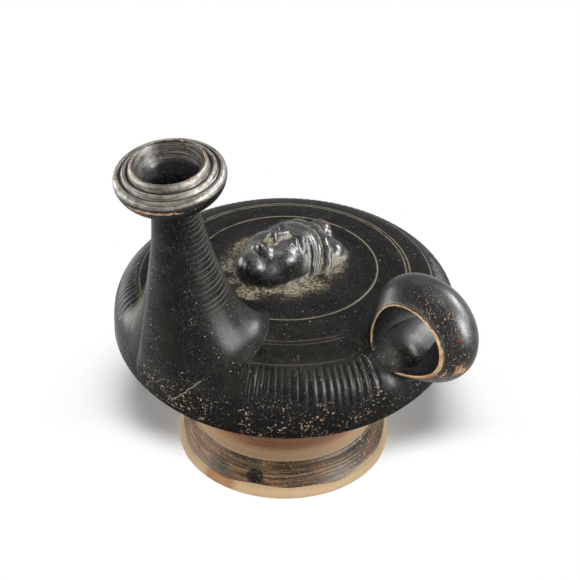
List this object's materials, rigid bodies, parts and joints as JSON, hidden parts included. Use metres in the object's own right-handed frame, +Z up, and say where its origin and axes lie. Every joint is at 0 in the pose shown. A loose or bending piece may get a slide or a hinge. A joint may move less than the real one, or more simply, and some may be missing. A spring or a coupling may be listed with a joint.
{
  "type": "guttus",
  "caption": "Squat lidless oil vessel of black-gloss fired clay with a leaning spout, ring handle, ring foot and a relief head on top.",
  "frame": {"origin": "middle of the vessel's footprint box, on the plane that the foot stands on", "axes": "+Z up along the wheel axis, -Y the way that the spout leans, +X the side of the ring handle"},
  "size_m": [0.1308, 0.122, 0.1301],
  "materials": {
    "black_gloss": "near-black fired clay slip with a satin gloss, chips and speckles",
    "relief_gloss": "black gloss with pale soil in its hollows",
    "worn_gloss": "black gloss worn to orange and cream clay along its edges",
    "reserved_clay": "orange fired clay, left bare on the stem and edge, with thin streaked gloss on the flank"
  },
  "bodies": {
    "root": {"foot": "reserved_clay", "lower_bowl": "black_gloss", "shoulder": "black_gloss", "medallion": "relief_gloss", "neck": "black_gloss", "mouth": "worn_gloss", "ring_handle": "worn_gloss"}
  },
  "joints": []
}
